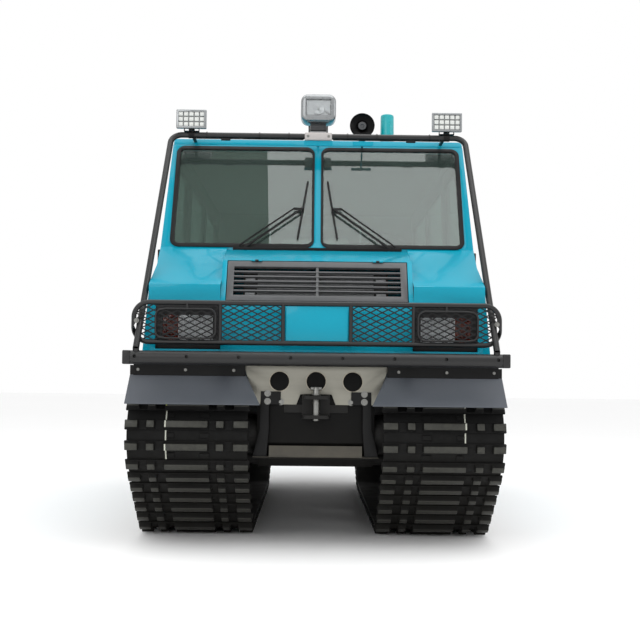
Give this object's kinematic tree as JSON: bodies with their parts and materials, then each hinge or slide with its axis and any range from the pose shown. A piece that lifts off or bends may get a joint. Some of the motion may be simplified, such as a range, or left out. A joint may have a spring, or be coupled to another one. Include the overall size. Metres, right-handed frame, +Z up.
{
  "type": "tracked all terrain vehicle",
  "caption": "Enclosed tracked all terrain carrier with rubber belt tracks, opening doors, grille hatch, swivelling searchlight and sweeping wipers.",
  "frame": {"origin": "on the ground below the middle of the vehicle", "axes": "+X to the vehicle's left, +Y to its rear, +Z up; the front faces -Y"},
  "size_m": [2.31, 4.6999, 3.0252],
  "materials": {
    "hull_paint": "satin dark grey paint",
    "plate_steel": "bare grey steel plate",
    "black_steel": "black powder coat",
    "cast_steel": "cast steel",
    "pin_steel": "worn steel",
    "engine_iron": "cast iron",
    "wheel_tyre": "rubber tyred steel wheel",
    "track_rubber": "rubber belt with steel lugs",
    "flap_rubber": "dark grey sheet",
    "tube_black": "black powder coated tube",
    "mesh_black": "black expanded mesh",
    "body_blue": "cyan blue gloss paint",
    "floor_grey": "dark floor paint",
    "lamp_black": "black moulded plastic",
    "lens_clear": "clear ribbed lens",
    "lens_amber": "amber lens",
    "lens_red": "red lens",
    "window_glass": "tinted safety glass",
    "seal_rubber": "black rubber",
    "case_grey": "grey moulded case",
    "case_white": "off white case",
    "lamp_silver": "cast aluminium lamp",
    "reflector": "chrome",
    "horn_black": "black plastic",
    "beacon_teal": "turquoise dome",
    "dash_plastic": "dark grained plastic",
    "seat_cloth": "dark grey cloth"
  },
  "bodies": {
    "chassis": {"hull_tub": "hull_paint", "front_plate": "plate_steel", "front_brackets": "black_steel", "tow_clevis": "cast_steel", "engine_block": "engine_iron", "suspension": "cast_steel", "road_wheels": "wheel_tyre", "sprockets": "cast_steel", "idlers": "wheel_tyre", "track_left": "track_rubber", "track_right": "track_rubber", "mud_flaps": "flap_rubber", "bumper": "tube_black", "brush_guard": "tube_black", "guard_panel": "body_blue", "guard_mesh": "mesh_black", "roll_frame": "tube_black", "work_lamps": "lamp_silver", "searchlight_base": "case_white", "horn": "horn_black", "beacon": "beacon_teal", "body_floor": "floor_grey", "nose_shell": "body_blue", "lamp_panels": "lamp_black", "headlamp_lenses": "lens_clear", "indicator_lenses": "lens_amber", "cab_front": "body_blue", "fixed_glass": "window_glass", "screen_seals": "seal_rubber", "cowl": "lamp_black", "side_walls": "body_blue", "roof": "body_blue", "rear_wall": "body_blue", "dashboard": "dash_plastic", "steering_column": "lamp_black", "seat_frames": "floor_grey", "front_seats": "seat_cloth", "bench_pads": "seat_cloth", "rear_fittings": "tube_black", "rear_lamps": "lens_red"},
    "left_door": {"door_left": "body_blue", "door_glass_left": "window_glass"},
    "right_door": {"door_right": "body_blue", "door_glass_right": "window_glass"},
    "back_door": {"rear_door": "body_blue", "rear_door_glass": "window_glass"},
    "hatch": {"grille_hatch": "lamp_black"},
    "search_neck": {"searchlight_neck": "case_grey"},
    "search_head": {"searchlight_head": "reflector"},
    "steering": {"steering_wheel": "dash_plastic"},
    "pin": {"tow_pin": "pin_steel"},
    "left_wiper_arm": {"wiper_arm_left": "black_steel"},
    "left_wiper_rod": {"wiper_rod_left": "black_steel"},
    "left_wiper_blade": {"wiper_blade_left": "seal_rubber"},
    "right_wiper_arm": {"wiper_arm_right": "black_steel"},
    "right_wiper_rod": {"wiper_rod_right": "black_steel"},
    "right_wiper_blade": {"wiper_blade_right": "seal_rubber"}
  },
  "joints": [
    {"name": "left_door_hinge", "type": "hinge", "parent": "chassis", "child": "left_door", "pos_m": [1.05, -1.4725, 1.5], "axis": [0, 0, -1], "range_deg": [0, 70]},
    {"name": "right_door_hinge", "type": "hinge", "parent": "chassis", "child": "right_door", "pos_m": [-1.05, -1.4725, 1.5], "axis": [0, 0, 1], "range_deg": [0, 70]},
    {"name": "rear_door_hinge", "type": "hinge", "parent": "chassis", "child": "back_door", "pos_m": [-0.4525, 2.215, 1.5], "axis": [0, 0, 1], "range_deg": [0, 100]},
    {"name": "hatch_hinge", "type": "hinge", "parent": "chassis", "child": "hatch", "pos_m": [0, -1.98471, 1.7698], "axis": [-1, 0, 0], "range_deg": [0, 60]},
    {"name": "searchlight_pan", "type": "hinge", "parent": "chassis", "child": "search_neck", "pos_m": [0, -1.165, 2.75], "axis": [0, 0, 1], "range_deg": [-170, 170]},
    {"name": "searchlight_tilt", "type": "hinge", "parent": "search_neck", "child": "search_head", "pos_m": [0, -1.165, 2.78886], "axis": [1, 0, 0], "range_deg": [-20, 40]},
    {"name": "steering_turn", "type": "hinge", "parent": "chassis", "child": "steering", "pos_m": [0.47, -1.15, 1.905], "axis": [0, 0.6157, 0.788], "range_deg": [-540, 540]},
    {"name": "tow_pin_lift", "type": "slide", "parent": "chassis", "child": "pin", "axis": [0, 0, 1], "range_m": [0, 0.15]},
    {"name": "left_wiper_sweep", "type": "hinge", "parent": "chassis", "child": "left_wiper_arm", "pos_m": [0.47, -1.65833, 1.89549], "axis": [0, 0.9063, -0.4226], "range_deg": [0, 101]},
    {"name": "left_wiper_rod_turn", "type": "hinge", "parent": "chassis", "child": "left_wiper_rod", "pos_m": [0.525, -1.65833, 1.89549], "axis": [0, 0.9063, -0.4226], "range_deg": [0, 101]},
    {"name": "left_wiper_blade_turn", "type": "hinge", "parent": "left_wiper_arm", "child": "left_wiper_blade", "pos_m": [0.1, -1.52944, 2.17191], "axis": [0, 0.9063, -0.4226], "range_deg": [-101, 0]},
    {"name": "right_wiper_sweep", "type": "hinge", "parent": "chassis", "child": "right_wiper_arm", "pos_m": [-0.47, -1.65833, 1.89549], "axis": [0, -0.9063, 0.4226], "range_deg": [0, 101]},
    {"name": "right_wiper_rod_turn", "type": "hinge", "parent": "chassis", "child": "right_wiper_rod", "pos_m": [-0.525, -1.65833, 1.89549], "axis": [0, -0.9063, 0.4226], "range_deg": [0, 101]},
    {"name": "right_wiper_blade_turn", "type": "hinge", "parent": "right_wiper_arm", "child": "right_wiper_blade", "pos_m": [-0.1, -1.52944, 2.17191], "axis": [0, -0.9063, 0.4226], "range_deg": [-101, 0]}
  ],
  "couplings": [
    {"joint": "left_wiper_rod_turn", "follows": "left_wiper_sweep", "ratio": 1},
    {"joint": "left_wiper_blade_turn", "follows": "left_wiper_sweep", "ratio": -1},
    {"joint": "right_wiper_rod_turn", "follows": "right_wiper_sweep", "ratio": 1},
    {"joint": "right_wiper_blade_turn", "follows": "right_wiper_sweep", "ratio": -1}
  ]
}
